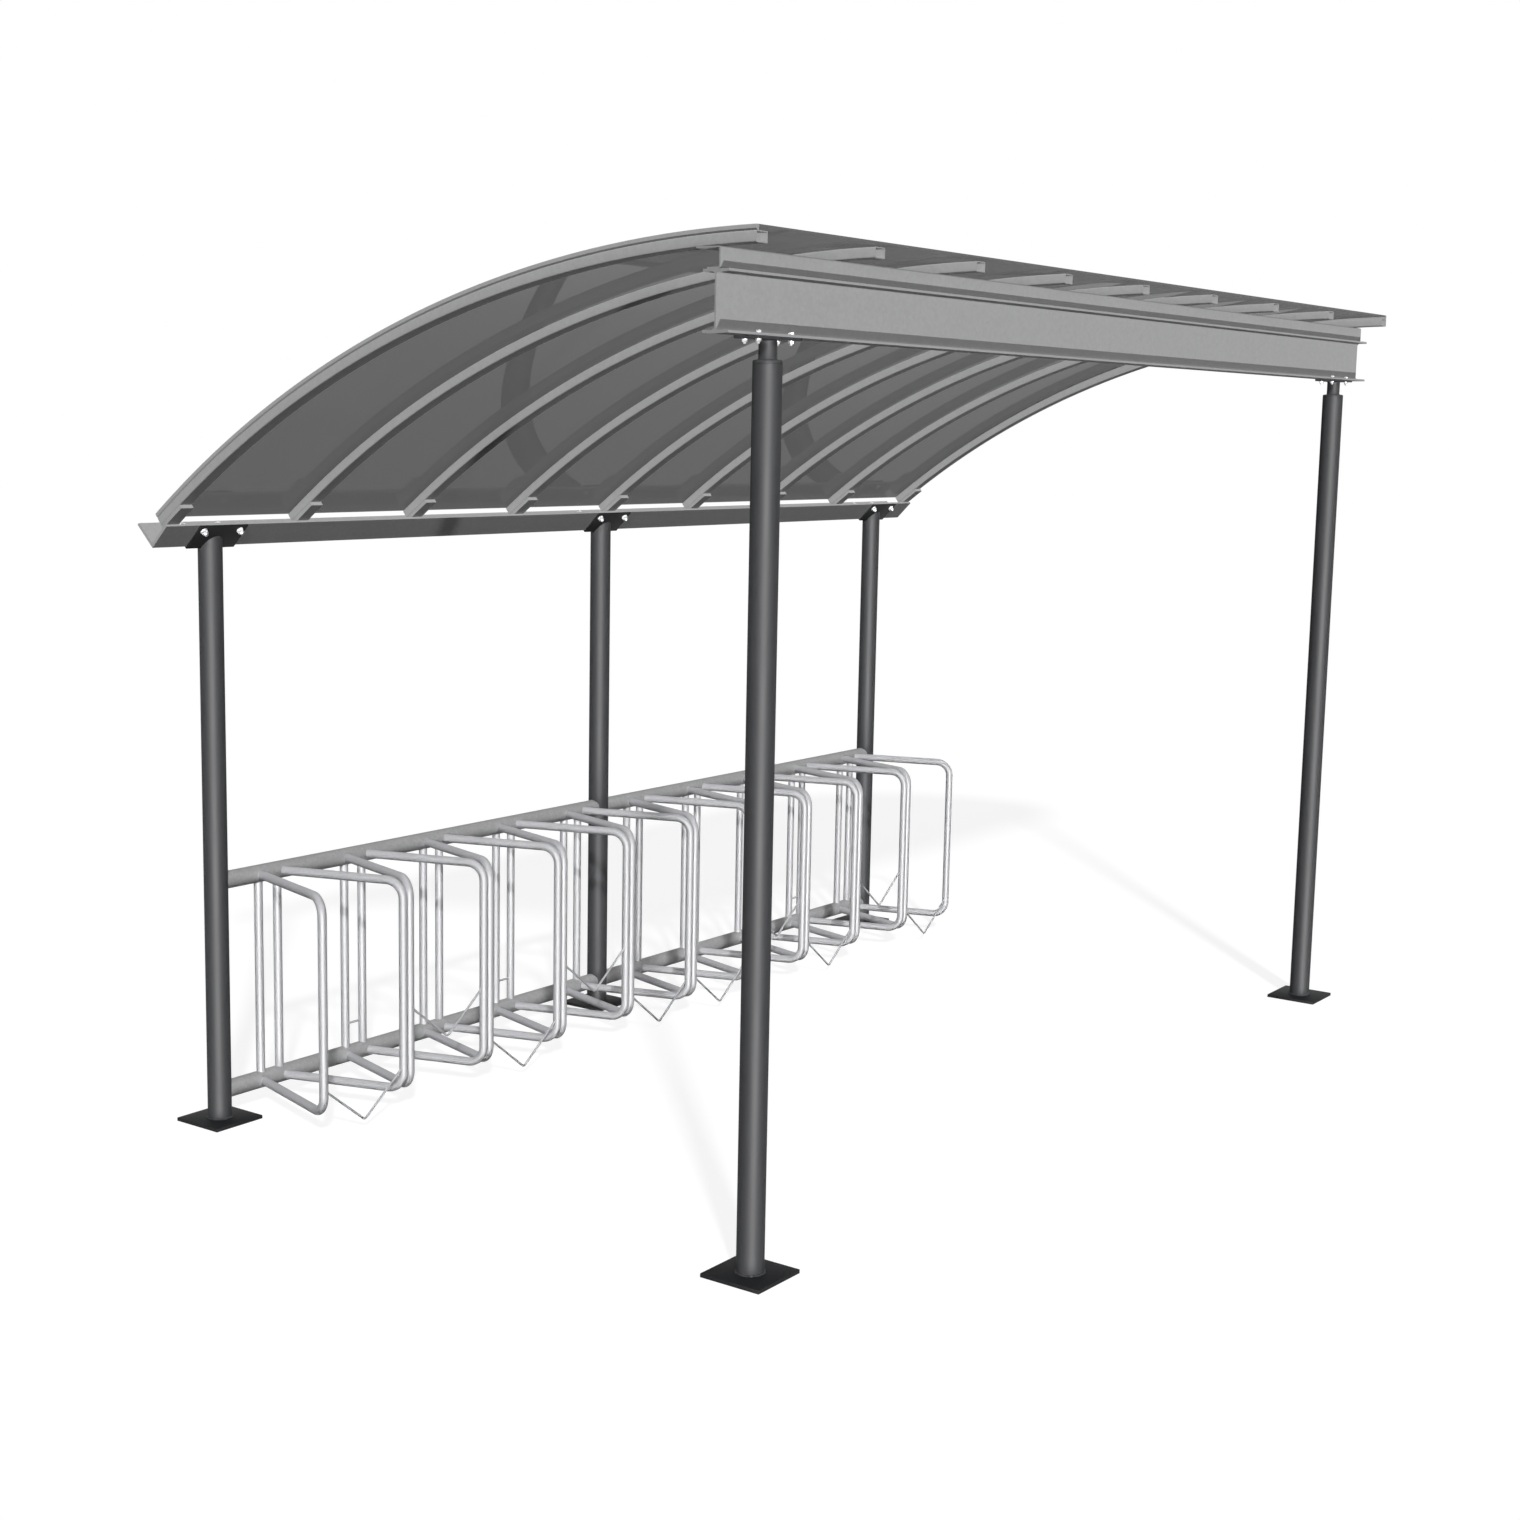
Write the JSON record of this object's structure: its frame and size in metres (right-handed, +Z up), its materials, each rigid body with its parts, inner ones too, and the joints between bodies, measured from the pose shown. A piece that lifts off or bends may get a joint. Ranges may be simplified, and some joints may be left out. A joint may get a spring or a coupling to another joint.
{
  "type": "bike shelter",
  "caption": "Open-sided steel bike shelter with an arched smoked roof on tube ribs, tall front posts, a rear gutter and a rack of bent hoops that hold bicycle wheels.",
  "frame": {"origin": "on the ground, at the middle of the shelter's outline", "axes": "+X along the shelter, to the right seen from its open front; +Y from the open front to the rear; +Z up"},
  "size_m": [4.47, 2.4223, 2.8408],
  "materials": {
    "anthracite_coat": "anthracite grey powder coat with a fine satin texture",
    "dark_bracket": "near-black powder coat, satin",
    "beam_zinc": "hot-dip galvanised, matt grey with a soft spangle",
    "roof_zinc": "hot-dip galvanised, matt grey with a soft spangle",
    "rail_zinc": "hot-dip galvanised tube, light warm grey",
    "rack_zinc": "bright galvanised bent tube, semi-gloss",
    "smoked_sheet": "smoke grey acrylic sheet, glossy both sides"
  },
  "bodies": {
    "root": {"rear_post_left": "anthracite_coat", "rear_post_middle": "anthracite_coat", "rear_post_right": "anthracite_coat", "front_post_left": "anthracite_coat", "front_post_right": "anthracite_coat", "rear_base_plates": "anthracite_coat", "front_base_plates": "anthracite_coat", "front_post_caps": "anthracite_coat", "front_spigots": "anthracite_coat", "front_head_plates": "anthracite_coat", "gutter_saddles": "dark_bracket", "front_beam": "beam_zinc", "rib_channel": "beam_zinc", "rear_gutter": "roof_zinc", "rib_1": "roof_zinc", "rib_2": "roof_zinc", "rib_3": "roof_zinc", "rib_4": "roof_zinc", "rib_5": "roof_zinc", "rib_6": "roof_zinc", "rib_7": "roof_zinc", "rib_8": "roof_zinc", "rib_9": "roof_zinc", "rib_lugs": "roof_zinc", "edge_trims": "roof_zinc", "roof_sheet": "smoked_sheet", "upper_rails": "rail_zinc", "lower_rails": "rail_zinc", "hoops_1": "rack_zinc", "hoops_2": "rack_zinc", "hoops_3": "rack_zinc", "hoops_4": "rack_zinc", "hoops_5": "rack_zinc", "hoops_6": "rack_zinc", "hoops_7": "rack_zinc", "hoops_8": "rack_zinc", "hoops_9": "rack_zinc", "hoops_10": "rack_zinc", "rack_bars": "rack_zinc", "wheel_rods": "rack_zinc", "stop_rods": "rack_zinc"}
  },
  "joints": []
}
